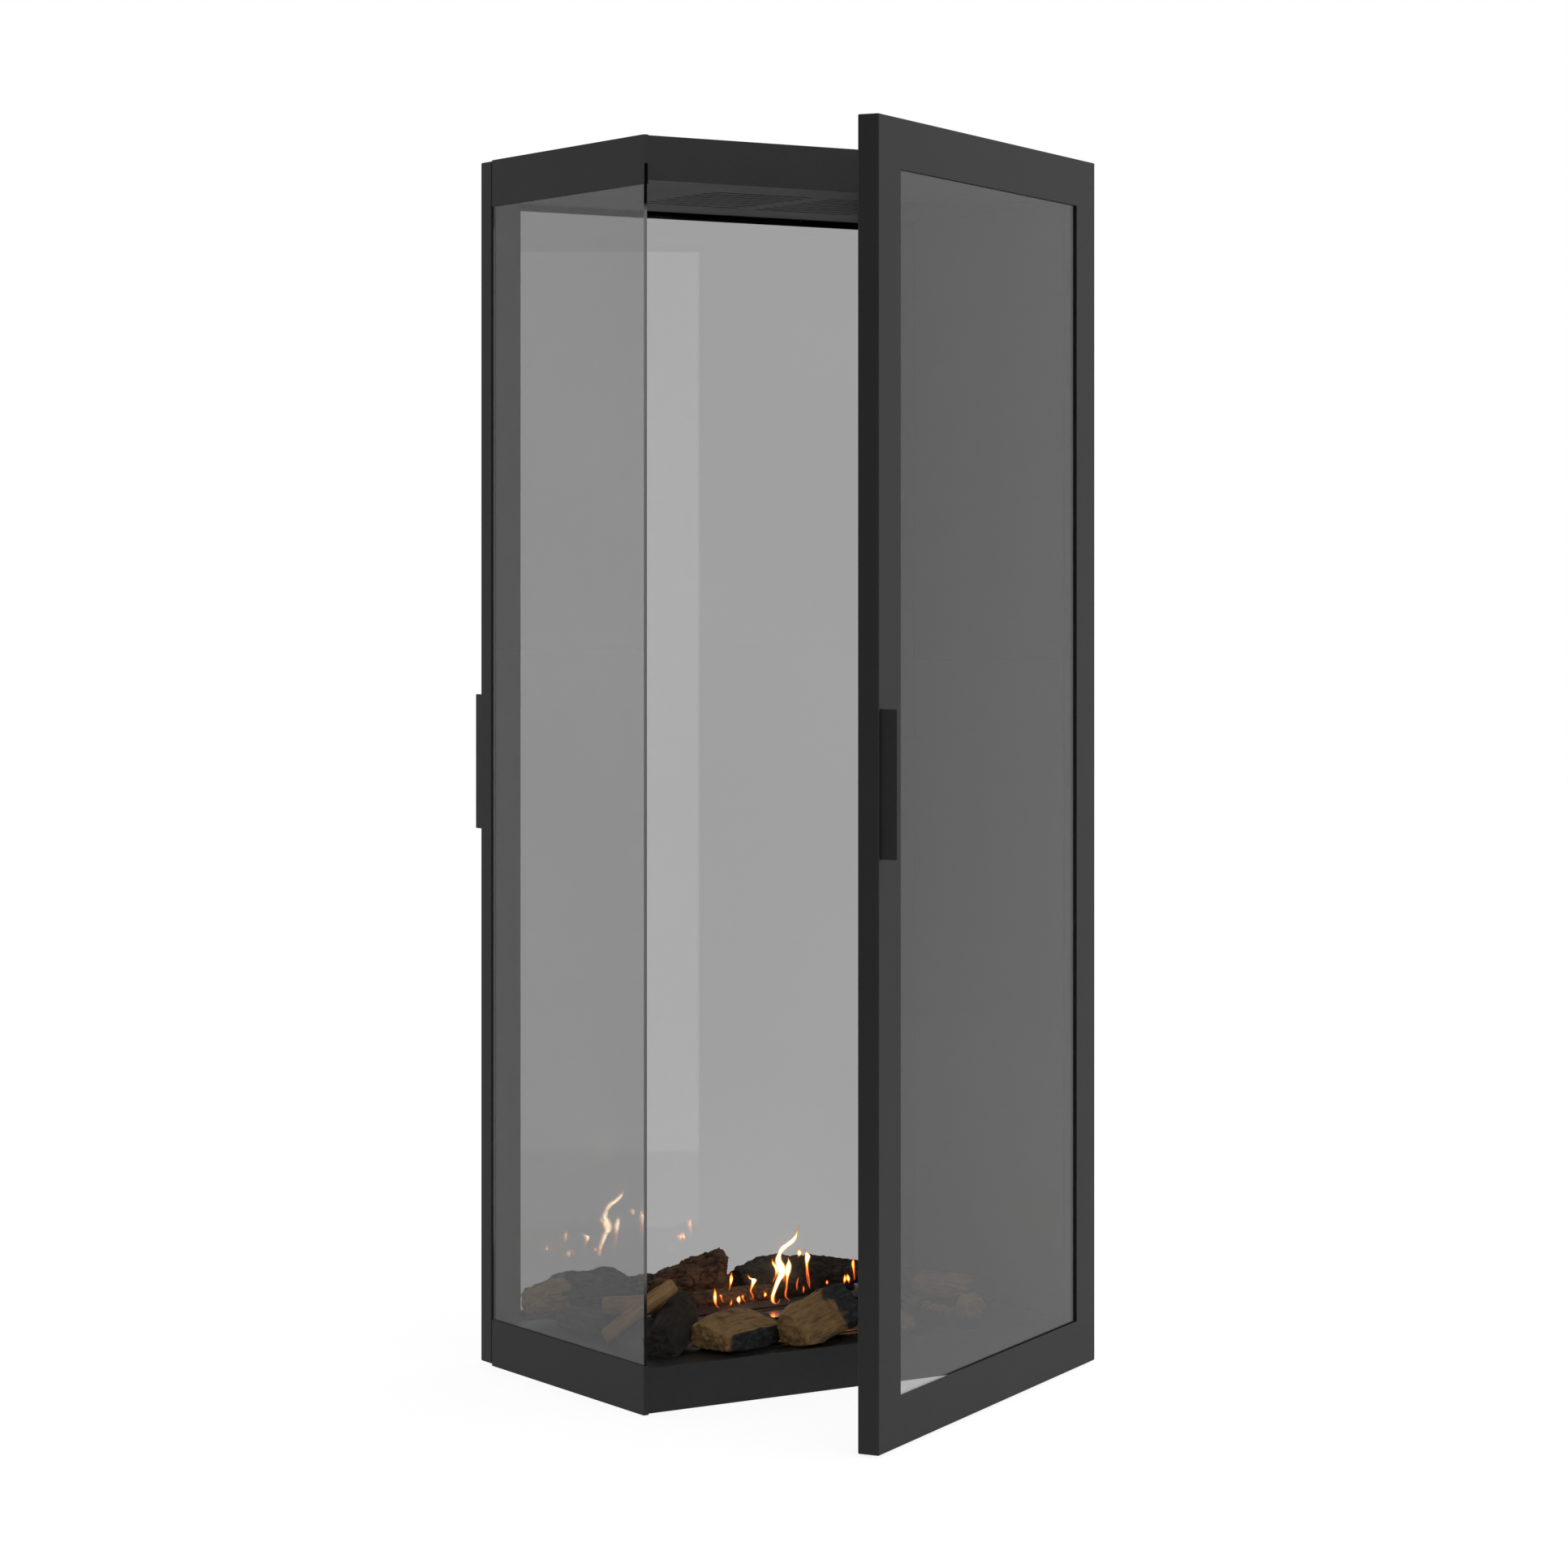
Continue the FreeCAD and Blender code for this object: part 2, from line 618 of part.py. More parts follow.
burner = burner_pieces()
write(shell_pieces())
write(glass_side_pieces())
write(wall_pieces())
write(wall_hinge_pieces())
write(both_doors())
write(burner)
write(log_pieces(burner))
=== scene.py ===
import bpy
import bmesh
import json
import math
import numpy as np
from mathutils import Matrix, Vector, noise


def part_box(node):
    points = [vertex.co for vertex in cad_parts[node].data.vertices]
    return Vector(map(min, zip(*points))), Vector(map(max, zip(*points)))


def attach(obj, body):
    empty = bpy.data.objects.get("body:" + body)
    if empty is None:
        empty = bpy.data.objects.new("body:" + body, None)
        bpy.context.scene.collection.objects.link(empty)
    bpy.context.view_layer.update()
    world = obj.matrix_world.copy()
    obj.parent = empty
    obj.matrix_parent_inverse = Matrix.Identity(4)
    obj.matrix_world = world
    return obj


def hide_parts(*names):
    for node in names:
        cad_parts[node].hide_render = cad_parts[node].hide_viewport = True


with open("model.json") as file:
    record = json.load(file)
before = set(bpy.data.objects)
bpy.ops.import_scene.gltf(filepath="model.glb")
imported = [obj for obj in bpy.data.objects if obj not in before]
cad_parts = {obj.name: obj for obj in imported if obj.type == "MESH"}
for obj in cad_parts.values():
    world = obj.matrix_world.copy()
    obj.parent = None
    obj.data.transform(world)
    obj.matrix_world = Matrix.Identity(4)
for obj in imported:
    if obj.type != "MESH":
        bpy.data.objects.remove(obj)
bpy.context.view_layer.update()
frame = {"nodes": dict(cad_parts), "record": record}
nodes = frame["nodes"]
scene = bpy.context.scene
print("frame loaded:", len(nodes), "pieces")


def linear(hexText):
    # sRGB hex to the linear colour that the shaders take
    parts = [int(hexText[i:i + 2], 16) / 255 for i in (1, 3, 5)]
    return tuple(p / 12.92 if p <= 0.04045 else ((p + 0.055) / 1.055) ** 2.4 for p in parts) + (1.0,)


def addNode(tree, kind, settings=None, links=None):
    # settings go to the node's own properties where it has them, otherwise to its sockets
    made = tree.nodes.new("ShaderNode" + kind)
    for key, value in (settings or {}).items():
        if key == "stops":
            stops = made.color_ramp.elements
            while len(stops) < len(value):
                stops.new(0.5)
            for stop, (place, hexText) in zip(stops, value):
                stop.position = place
                stop.color = linear(hexText)
        elif isinstance(key, str) and hasattr(made, key):
            setattr(made, key, value)
        else:
            made.inputs[key].default_value = value
    for key, source in (links or {}).items():
        tree.links.new(source, made.inputs[key])
    return made


def newMaterial(name):
    made = bpy.data.materials.new(name)
    made.use_nodes = True
    made.node_tree.nodes.clear()
    return made, made.node_tree


def pattern(tree, spot, settings, along, across=None):
    # noise in patches of this size in millimetres, along X and across it
    across = across or along
    sized = addNode(tree, "Mapping", {"Scale": (1000 / along, 1000 / across, 1000 / across)},
                    {"Vector": spot.outputs["Object"]})
    made = addNode(tree, "TexNoise", {"Scale": 1.0, **settings}, {"Vector": sized.outputs["Vector"]})
    return made.outputs["Fac"]


def toneOf(tree, value, stops):
    return addNode(tree, "ValToRGB", {"stops": stops}, {"Fac": value}).outputs["Color"]


def between(tree, value, ends):
    # a value from 0 to 1 spread between two ends
    return addNode(tree, "MapRange", {"To Min": ends[0], "To Max": ends[1]}, {"Value": value}).outputs["Result"]


# Camera: where the photographer stood, level, with the frame dropped to take in the whole object
photoCamera = {"place": (-2.6857, -4.0945, 0.9393), "turn": -33.27, "lens": 94.39, "sensor": 36.0, "drop": -0.134,
               "farthest": 50.0}

cameraData = bpy.data.cameras.new("photoCamera")
cameraData.lens = photoCamera["lens"]
cameraData.sensor_width = photoCamera["sensor"]
cameraData.shift_y = photoCamera["drop"]
cameraData.clip_end = photoCamera["farthest"]
camera = bpy.data.objects.new("photoCamera", cameraData)
camera.location = photoCamera["place"]
camera.rotation_euler = (math.radians(90), 0, math.radians(photoCamera["turn"]))
scene.collection.objects.link(camera)
scene.camera = camera
scene.view_settings.view_transform = "Standard"

# Lens glow: only the flames are bright enough to spill light round them
lensGlow = {"Threshold": 2.0, "Strength": 0.12, "Size": 0.25}

scene.use_nodes = True
lensTree = scene.node_tree
lensTree.nodes.clear()
picture = lensTree.nodes.new("CompositorNodeRLayers")
spill = lensTree.nodes.new("CompositorNodeGlare")
spill.glare_type = "BLOOM"
for key, value in lensGlow.items():
    spill.inputs[key].default_value = value
shownPicture = lensTree.nodes.new("CompositorNodeComposite")
lensTree.links.new(picture.outputs["Image"], spill.inputs["Image"])
lensTree.links.new(spill.outputs["Image"], shownPicture.inputs["Image"])
print("camera placed")

# Studio: seen directly the tent is white, but it lights the object less, least of all from the left. A soft box
# in front on the right shows only in reflections. Lamps: name, place, size and watts.
studio = {
    "seen": 1.0, "tentLight": 0.58, "darkWay": (-0.95, -0.3, 0.0), "darker": 0.4,
    "boxWay": (0.55, -0.835, 0.0), "boxEdge": 0.97, "boxLight": 1.4,
    "lamps": (("softBoxTop", (0.6, -0.8, 3.6), 2.4, 30.0),), "lampAim": (0, 0, 0.7),
}
white = (1, 1, 1, 1)


def tentLevel(tree, way):
    # how strongly the tent lights the object from this direction
    dark = addNode(tree, "VectorMath", {"operation": "DOT_PRODUCT", 1: studio["darkWay"]}, {0: way})
    return between(tree, dark.outputs["Value"], (studio["tentLight"], studio["tentLight"] - studio["darker"]))


def tentSeen(tree, way, plain):
    # how bright the tent looks in this direction, with the soft box for rays that a surface has mirrored
    near = addNode(tree, "VectorMath", {"operation": "DOT_PRODUCT", 1: studio["boxWay"]}, {0: way})
    box = addNode(tree, "MapRange", {"From Min": studio["boxEdge"], "To Max": studio["boxLight"],
                                     "interpolation_type": "SMOOTHSTEP"}, {"Value": near.outputs["Value"]})
    ray = addNode(tree, "LightPath")
    mirrored = addNode(tree, "Math", {"operation": "GREATER_THAN", 1: 0.5}, {0: ray.outputs["Glossy Depth"]})
    level = addNode(tree, "Math", {"operation": "MULTIPLY_ADD", 2: plain},
                    {0: box.outputs["Result"], 1: mirrored.outputs["Value"]})
    return level.outputs["Value"]


def seenDirectly(tree):
    # 1 for rays from the camera, through glass too, and 0 for those that light the object
    ray = addNode(tree, "LightPath")
    either = addNode(tree, "Math", {"operation": "MAXIMUM"},
                     {0: ray.outputs["Is Camera Ray"], 1: ray.outputs["Is Transmission Ray"]})
    return either.outputs["Value"]


world = bpy.data.worlds.new("whiteTent")
scene.world = world
world.use_nodes = True
tree = world.node_tree
tree.nodes.clear()
way = addNode(tree, "TexCoord").outputs["Generated"]
lighting = addNode(tree, "Background", {"Color": white}, {"Strength": tentLevel(tree, way)})
backdrop = addNode(tree, "Background", {"Color": white}, {"Strength": tentSeen(tree, way, studio["seen"])})
tent = addNode(tree, "MixShader", links={0: seenDirectly(tree), 1: lighting.outputs["Background"],
                                         2: backdrop.outputs["Background"]})
addNode(tree, "OutputWorld", links={"Surface": tent.outputs["Shader"]})

for name, place, size, watts in studio["lamps"]:
    lampData = bpy.data.lights.new(name, "AREA")
    lampData.size = size
    lampData.energy = watts
    lamp = bpy.data.objects.new(name, lampData)
    lamp.location = place
    lamp.rotation_euler = (Vector(studio["lampAim"]) - Vector(place)).to_track_quat("-Z", "Y").to_euler()
    scene.collection.objects.link(lamp)

# Back-lit acrylic floor sheet: even white, with only a soft shadow where the object stands. Reach: how far out, in
# metres, the floor takes on the tent's level as it lights the object and as it is seen. Bounce: how much light it
# throws back near the object and far from it, which its own glow leaves out.
paleFloor = {"half": 40.0, "below": 0.0005, "glow": 0.9, "reach": (3.0, 1.5), "bounce": (0.16, 0.09),
             "toneHex": ("#7b7b7a", "#7e7e7e")}

half = paleFloor["half"]
floorMesh = bpy.data.meshes.new("paleFloor")
floorMesh.from_pydata([(-half, -half, 0), (half, -half, 0), (half, half, 0), (-half, half, 0)], [], [(0, 1, 2, 3)])
floor = bpy.data.objects.new("paleFloor", floorMesh)
floor.location.z = -paleFloor["below"]
scene.collection.objects.link(floor)

floorPaint, tree = newMaterial("backlitAcrylicFloor")
spot = addNode(tree, "TexCoord").outputs["Object"]
cloud = addNode(tree, "TexNoise", {"Scale": 1.5, "Detail": 2.0}, {"Vector": spot})
tone = toneOf(tree, cloud.outputs["Fac"], list(zip((0.3, 0.7), paleFloor["toneHex"])))
far = addNode(tree, "VectorMath", {"operation": "LENGTH"}, {0: spot}).outputs["Value"]
ways = []
for reach in paleFloor["reach"]:
    farther = addNode(tree, "Math", {"operation": "MAXIMUM", 1: reach}, {0: far})
    share = addNode(tree, "Math", {"operation": "DIVIDE", 0: 1.0}, {1: farther.outputs["Value"]})
    way = addNode(tree, "VectorMath", {"operation": "SCALE"}, {0: spot, "Scale": share.outputs["Value"]})
    ways.append(way.outputs["Vector"])
bounce = addNode(tree, "MapRange", {"From Max": paleFloor["reach"][0], "To Min": paleFloor["bounce"][0],
                                    "To Max": paleFloor["bounce"][1]}, {"Value": far})
level = addNode(tree, "Math", {"operation": "SUBTRACT"}, {0: tentLevel(tree, ways[0]), 1: bounce.outputs["Result"]})
floorGlow = addNode(tree, "Mix", {"data_type": "FLOAT"}, {0: seenDirectly(tree), 2: level.outputs["Value"],
                                                          3: tentSeen(tree, ways[1], paleFloor["glow"])})
skin = addNode(tree, "BsdfPrincipled", {"Roughness": 0.9, "Specular IOR Level": 0.0, "Emission Color": white},
               {"Base Color": tone, "Emission Strength": floorGlow.outputs[0]})
addNode(tree, "OutputMaterial", links={"Surface": skin.outputs["BSDF"]})
floorMesh.materials.append(floorPaint)
print("studio set up")

# Steel sheet with a matt black powder coat: sprayed and baked, so the skin is a fine even orange peel. The hearth
# has a darker, smoother stove enamel that shows a little of the fire, and the burner's top a glossy one.
coats = {
    "blackPowderCoat": {"toneHex": ("#272727", "#2f2f2f"), "peel": 1.8, "blotch": 90, "roughness": (0.5, 0.62),
                        "depth": 0.25},
    "stoveEnamel": {"toneHex": ("#0d0d0d", "#131313"), "peel": 2.5, "blotch": 60, "roughness": (0.34, 0.46),
                    "depth": 0.1},
    "burnerEnamel": {"toneHex": ("#0b0b0b", "#111111"), "peel": 3.0, "blotch": 60, "roughness": (0.26, 0.34),
                     "depth": 0.03},
}
coatSkins = {}
for name, coat in coats.items():
    coatSkins[name], tree = newMaterial(name)
    spot = addNode(tree, "TexCoord")
    peel = pattern(tree, spot, {"Detail": 3.0, "Roughness": 0.6}, coat["peel"])
    blotch = pattern(tree, spot, {"Detail": 4.0}, coat["blotch"])
    speckle = addNode(tree, "Mix", {"data_type": "FLOAT", 0: 0.55}, {2: blotch, 3: peel})
    tone = toneOf(tree, speckle.outputs[0], list(zip((0.35, 0.65), coat["toneHex"])))
    grit = addNode(tree, "Bump", {"Strength": coat["depth"], "Distance": 0.0004}, {"Height": peel})
    skin = addNode(tree, "BsdfPrincipled", {"IOR": 1.5},
                   {"Base Color": tone, "Roughness": between(tree, blotch, coat["roughness"]),
                    "Normal": grit.outputs["Normal"]})
    addNode(tree, "OutputMaterial", links={"Surface": skin.outputs["BSDF"]})

# Float glass, polished on both sides: the doors' panes are grey, the front one paler, and the side pane is nearly
# clear and shows its ground edge, with painted shade darkening it at the foot near the fire and under the ceiling
panes = {
    "greyFloatGlass": {"tintHex": ("#a5a5a5", "#a7a7a7"), "lampHex": "#cfcfcf", "edge": 0.0},
    "paleGreyFloatGlass": {"tintHex": ("#b3b3b3", "#b5b5b5"), "lampHex": "#d8d8d8", "edge": 0.0},
    "clearFloatGlass": {"tintHex": ("#c2c2c2", "#c4c4c4"), "lampHex": "#f0f0f0", "edge": 1.0},
}
tintCloud = 260
# painted shade on the side pane's ground edge, by height: dark at the foot and the top, grey between
paintedShadeUpwards = [(0.06, "#2a2b2a"), (0.085, "#8e908f"), (0.962, "#8e908f"), (0.968, "#0c0c0c")]
paneSkins = {}
for name, sheet in panes.items():
    paneSkins[name], tree = newMaterial(name)
    spot = addNode(tree, "TexCoord")
    tint = toneOf(tree, pattern(tree, spot, {"Detail": 0.0}, tintCloud), list(zip((0.3, 0.7), sheet["tintHex"])))
    pane = addNode(tree, "BsdfPrincipled", {"Roughness": 0.0, "IOR": 1.5, "Transmission Weight": 1.0},
                   {"Base Color": tint})
    lampPass = addNode(tree, "BsdfTransparent", {"Color": linear(sheet["lampHex"])})
    ray = addNode(tree, "LightPath")
    through = addNode(tree, "MixShader", links={0: ray.outputs["Is Shadow Ray"], 1: pane.outputs["BSDF"],
                                                2: lampPass.outputs["BSDF"]})
    facing = addNode(tree, "VectorMath", {"operation": "ABSOLUTE"}, {0: spot.outputs["Normal"]})
    flatSide = addNode(tree, "VectorMath", {"operation": "DOT_PRODUCT", 1: (1, 0, 0)}, {0: facing.outputs["Vector"]})
    rim = addNode(tree, "MapRange", {"From Min": 0.6, "From Max": 0.4, "To Max": sheet["edge"]},
                  {"Value": flatSide.outputs["Value"]})
    height = addNode(tree, "SeparateXYZ", links={0: spot.outputs["Generated"]})
    # the ground edge's colour is painted shade by height, not a colour of the glass
    ground = addNode(tree, "BsdfDiffuse", links={"Color": toneOf(tree, height.outputs["Z"], paintedShadeUpwards)})
    sheetSkin = addNode(tree, "MixShader", links={0: rim.outputs["Result"], 1: through.outputs["Shader"],
                                                  2: ground.outputs["BSDF"]})
    addNode(tree, "OutputMaterial", links={"Surface": sheetSkin.outputs["Shader"]})

# Silicone: extruded, dull and slightly dusty black
silicone, tree = newMaterial("blackSilicone")
dust = pattern(tree, addNode(tree, "TexCoord"), {"Detail": 4.0}, 6)
skin = addNode(tree, "BsdfPrincipled", {"Roughness": 0.7, "IOR": 1.41},
               {"Base Color": toneOf(tree, dust, [(0.3, "#17171a"), (0.8, "#2a2a2b")])})
addNode(tree, "OutputMaterial", links={"Surface": skin.outputs["BSDF"]})

# Metals: black zinc on the screws, nickel on the magnets, brushed stainless steel on the burner
metals = {
    "blackZinc": {"toneHex": ("#2c2c2e", "#46464a"), "brush": (3, 3), "roughness": (0.35, 0.5)},
    "brightNickel": {"toneHex": ("#b9b4aa", "#d6d1c7"), "brush": (4, 4), "roughness": (0.12, 0.22)},
    "brushedStainless": {"toneHex": ("#77777a", "#a4a4a6"), "brush": (45, 0.9), "roughness": (0.3, 0.46)},
}
metalSkins = {}
for name, metal in metals.items():
    metalSkins[name], tree = newMaterial(name)
    brush = pattern(tree, addNode(tree, "TexCoord"), {"Detail": 3.0}, *metal["brush"])
    tone = toneOf(tree, brush, list(zip((0.3, 0.7), metal["toneHex"])))
    lines = addNode(tree, "Bump", {"Strength": 0.15, "Distance": 0.0002}, {"Height": brush})
    skin = addNode(tree, "BsdfPrincipled", {"Metallic": 1.0},
                   {"Base Color": tone, "Roughness": between(tree, brush, metal["roughness"]),
                    "Normal": lines.outputs["Normal"]})
    addNode(tree, "OutputMaterial", links={"Surface": skin.outputs["BSDF"]})

# Ceramic fibre: felted, white and soft, with loose strands
fibre, tree = newMaterial("ceramicFibreFelt")
strand = pattern(tree, addNode(tree, "TexCoord"), {"Detail": 5.0, "Distortion": 1.2}, 14, 1.6)
fluff = addNode(tree, "Bump", {"Strength": 0.6, "Distance": 0.001}, {"Height": strand})
skin = addNode(tree, "BsdfPrincipled", {"Roughness": 0.95, "IOR": 1.5},
               {"Base Color": toneOf(tree, strand, [(0.3, "#9d968a"), (0.7, "#d9d4c8")]),
                "Normal": fluff.outputs["Normal"]})
addNode(tree, "OutputMaterial", links={"Surface": skin.outputs["BSDF"]})

# The CAD pieces take their finish from the record's slots, and a few have one of their own
slotFinish = {
    "powder_coated_steel": coatSkins["blackPowderCoat"],
    "tinted_glass": paneSkins["greyFloatGlass"],
    "silicone_rubber": silicone,
    "nickel_plate": metalSkins["brightNickel"],
    "zinc_plated_steel": metalSkins["blackZinc"],
    "burner_steel": metalSkins["brushedStainless"],
    "ceramic_fibre": fibre,
}
ownFinish = {
    "side_glass": paneSkins["clearFloatGlass"],
    "front_glass": paneSkins["paleGreyFloatGlass"],
    "hearth_plate": coatSkins["stoveEnamel"],
    "burner_plate": coatSkins["burnerEnamel"],
    "burner_box": coatSkins["stoveEnamel"],
}
for part in frame["record"]["subparts"]:
    if part["material_slot"] in slotFinish:
        mesh = nodes[part["node"]].data
        mesh.materials.clear()
        mesh.materials.append(ownFinish.get(part["node"], slotFinish[part["material_slot"]]))
print("steel, glass and metals finished")

# Cast ceramic logs, painted as split wood, bark and char: dry and matt, with grain, cracks and ash, and painted
# shade in their clefts
logFinish = {
    "splitWoodCeramic": {"slot": "ceramic_wood", "grainHex": ("#62492f", "#98764a", "#b4915f"), "grain": (60, 2.2),
                         "depth": 0.9},
    "scorchedWoodCeramic": {"slot": "ceramic_char", "grainHex": ("#161411", "#25211b", "#3a342b"),
                            "grain": (50, 2.6), "depth": 0.8},
    "barkCeramic": {"slot": "ceramic_bark", "grainHex": ("#38291f", "#624836", "#87664a"), "grain": (22, 4.0),
                    "depth": 0.7},
    "charCeramic": {"slot": "ceramic_char", "grainHex": ("#1d1c1b", "#353230", "#5a5651"), "grain": (12, 5.0),
                    "depth": 1.0},
}
ashTones = [(0.35, "#111314"), (0.55, "#2b3032"), (0.78, "#5f6769")]
cleftShadeHex = "#0d0b0a"
# painted shade: the colour that cracks, grain hollows and torn ends are darkened towards
logSkins = {}
for name, finish in logFinish.items():
    logSkins[name], tree = newMaterial(name)
    spot = addNode(tree, "TexCoord")
    grain = pattern(tree, spot, {"Detail": 6.0, "Roughness": 0.62, "Distortion": 0.4}, *finish["grain"])
    cloud = pattern(tree, spot, {"Detail": 3.0}, 34, 20)
    both = addNode(tree, "Mix", {"data_type": "FLOAT", 0: 0.4}, {2: grain, 3: cloud})
    wood = toneOf(tree, both.outputs[0], list(zip((0.32, 0.5, 0.68), finish["grainHex"])))
    char = toneOf(tree, pattern(tree, spot, {"Detail": 5.0, "Roughness": 0.7}, 9, 4), ashTones)
    burnt = addNode(tree, "Attribute", {"attribute_name": "burnt"})
    cleft = addNode(tree, "Attribute", {"attribute_name": "cleft"})
    colour = addNode(tree, "Mix", {"data_type": "RGBA"}, {0: burnt.outputs["Fac"], 6: wood, 7: char})
    # painted shade: the log's colour darkened in its cracks, grain hollows and torn ends
    shaded = addNode(tree, "Mix", {"data_type": "RGBA", 7: linear(cleftShadeHex)},
                     {0: cleft.outputs["Fac"], 6: colour.outputs[2]})
    rough = addNode(tree, "Bump", {"Strength": finish["depth"], "Distance": 0.0012}, {"Height": grain})
    skin = addNode(tree, "BsdfPrincipled", {"Roughness": 0.88, "IOR": 1.5},
                   {"Base Color": shaded.outputs[2], "Normal": rough.outputs["Normal"]})
    addNode(tree, "OutputMaterial", links={"Surface": skin.outputs["BSDF"]})

# Each log, in millimetres: broad relief (height, size), grain and torn ends (height), cracks (depth, size) and
# growth at its left and right ends. Then how even the relief is, where along the length it turns black (past 1 for
# never), whether the front face is burnt too, height factors along the log, and its split faces: where each looks
# and how far out it lies.
plainLog = {"crack": (0, 0), "grow": (0, 0), "even": 0.5, "burnt": (2, 3), "burntFront": False, "heights": (1, 1),
            "splits": ()}
logs = {
    "rear_left_log": {"finish": "splitWoodCeramic", "lump": (5.0, 26), "grain": 1.4, "torn": 1.5, "grow": (6, 0),
                      "burnt": (0.3, 0.4), "heights": (0.98, 1.0, 1.08, 1.12, 1.04, 1.1, 1.0)},
    "bark_log": {"finish": "barkCeramic", "lump": (8.0, 24), "grain": 1.2, "torn": 1.5, "crack": (2.2, 34),
                 "heights": (0.92, 0.9, 0.86, 0.94, 1.02, 1.06, 1.24)},
    "charred_rear_log": {"finish": "charCeramic", "lump": (7.0, 24), "grain": 1.2, "torn": 1.5, "crack": (1.6, 30),
                         "heights": (0.86, 1.08, 1.02, 1.0, 0.95, 0.84, 0.76, 0.72)},
    "red_brown_log": {"finish": "barkCeramic", "lump": (3.6, 20), "grain": 1.2, "torn": 1.0, "crack": (1.4, 28)},
    "charcoal_log": {"finish": "scorchedWoodCeramic", "lump": (2.2, 34), "grain": 0.8, "torn": 2.0, "grow": (4, 8),
                     "even": 0.85, "heights": (0.5, 0.66, 0.82, 0.98, 1.08),
                     "splits": (((0.395, -0.736, 0.55), 32), ((-0.75, -0.6, 0.28), 262))},
    "front_log": {"finish": "splitWoodCeramic", "lump": (2.6, 24), "grain": 1.2, "torn": 2.8, "grow": (9, 0),
                  "even": 0.85, "burnt": (0.8, 0.92), "burntFront": True, "heights": (0.9, 1.0, 1.0, 0.96, 0.85)},
    "leaning_log": {"finish": "splitWoodCeramic", "lump": (2.6, 28), "grain": 1.5, "torn": 2.8, "grow": (11, 0),
                    "even": 0.85, "burnt": (0.58, 0.68), "heights": (0.85, 0.98, 1.02, 1.02)},
    "block_log": {"finish": "splitWoodCeramic", "lump": (2.2, 22), "grain": 1.0, "torn": 1.6, "even": 0.85},
    "charred_chunk": {"finish": "charCeramic", "lump": (4.0, 20), "grain": 1.0, "torn": 1.5},
    "lower_split_log": {"finish": "splitWoodCeramic", "lump": (2.0, 20), "grain": 0.9, "torn": 1.4},
    "upper_split_log": {"finish": "splitWoodCeramic", "lump": (2.0, 18), "grain": 0.9, "torn": 1.4},
    "log_offcuts": {"finish": "splitWoodCeramic", "lump": (2.2, 18), "grain": 0.6, "torn": 1.0,
                    "burnt": (0.61, 0.67)},
}

# Carving that all logs share. Voxel and hearth gap are in metres, the other sizes in millimetres.
carving = {
    "voxel": 0.0014, "smoothing": 1, "outward": 4.5, "hearth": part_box("hearth_plate")[1].z, "hearthGap": 0.0002,
    "seeds": (11, 7), "seedWay": (3.1, 1.7, 2.3), "wanderSeed": 3, "stretch": 1.5, "lumpShare": 0.6, "lumpSink": 0.1,
    "fibres": (70, 6), "shreds": 7, "endFacing": (0.4, 0.8),
    "crackWander": (9, 0.35), "crackWidth": 0.16, "burnWander": (14, 0.12), "frontFacing": (0.35, 0.6),
    # on the next line, the last two weigh and cap the painted shade in cracks, grain hollows and torn ends
    "frontStart": (0.0, 0.12), "cleftShadeOf": {"crack": 0.8, "fibres": 0.45, "shreds": 0.25}, "cleftShadeMost": 0.85,
    "lumpOctaves": (2.2, 5), "fibreOctaves": (0.8, 2.0, 3), "shredOctaves": (0.7, 2.0, 3),
}

# noise_vector, which makes the cracks wander, starts from the clock unless it is seeded
noise.seed_set(carving["wanderSeed"])


def ramp(value, start, end):
    share = min(1.0, max(0.0, (value - start) / (end - start)))
    return share * share * (3 - 2 * share)


def drawnLong(p, size):
    # a spot in a pattern of this size that is stretched along the log
    return Vector((p.x / size / carving["stretch"], p.y / size, p.z / size))


def logFrame(source):
    # the log's own frame: X along it, to the right, and Y level
    points = np.array([v.co for v in source.vertices])
    middle = points.mean(0)
    longWay = Vector(np.linalg.svd(points - middle, full_matrices=False)[2][0])
    if longWay.x < 0:
        longWay = -longWay
    side = Vector((0, 0, 1)).cross(longWay).normalized()
    along = longWay.normalized()
    turn = Matrix((along, side, along.cross(side))).transposed().to_4x4()
    return Matrix.Translation(Vector(middle)) @ turn


def drawOutline(body, place, look):
    # grows the ends, draws the height along the log and flattens its split faces
    low, high = min(v.co.x for v in body.verts), max(v.co.x for v in body.verts)
    first, last = low - look["grow"][0] / 1000, high + look["grow"][1] / 1000
    stretch = (last - first) / (high - low)
    heights = look["heights"]
    for v in body.verts:
        v.co.x = first + (v.co.x - low) * stretch
        # stops just short of the last factor, so that there is always a next one
        step = min(0.999, max(0.0, (v.co.x - first) / (last - first))) * (len(heights) - 1)
        factor = heights[int(step)] + (heights[int(step) + 1] - heights[int(step)]) * (step - int(step))
        up = place @ v.co
        up.z = carving["hearth"] + (up.z - carving["hearth"]) * factor
        v.co = place.inverted() @ up
    for looks, reach in look["splits"]:
        face = Vector(looks).normalized()
        for v in body.verts:
            up = place @ v.co
            over = up.dot(face) - reach / 1000
            if over > 0:
                v.co = place.inverted() @ (up - face * over)
    body.normal_update()
    return first, last


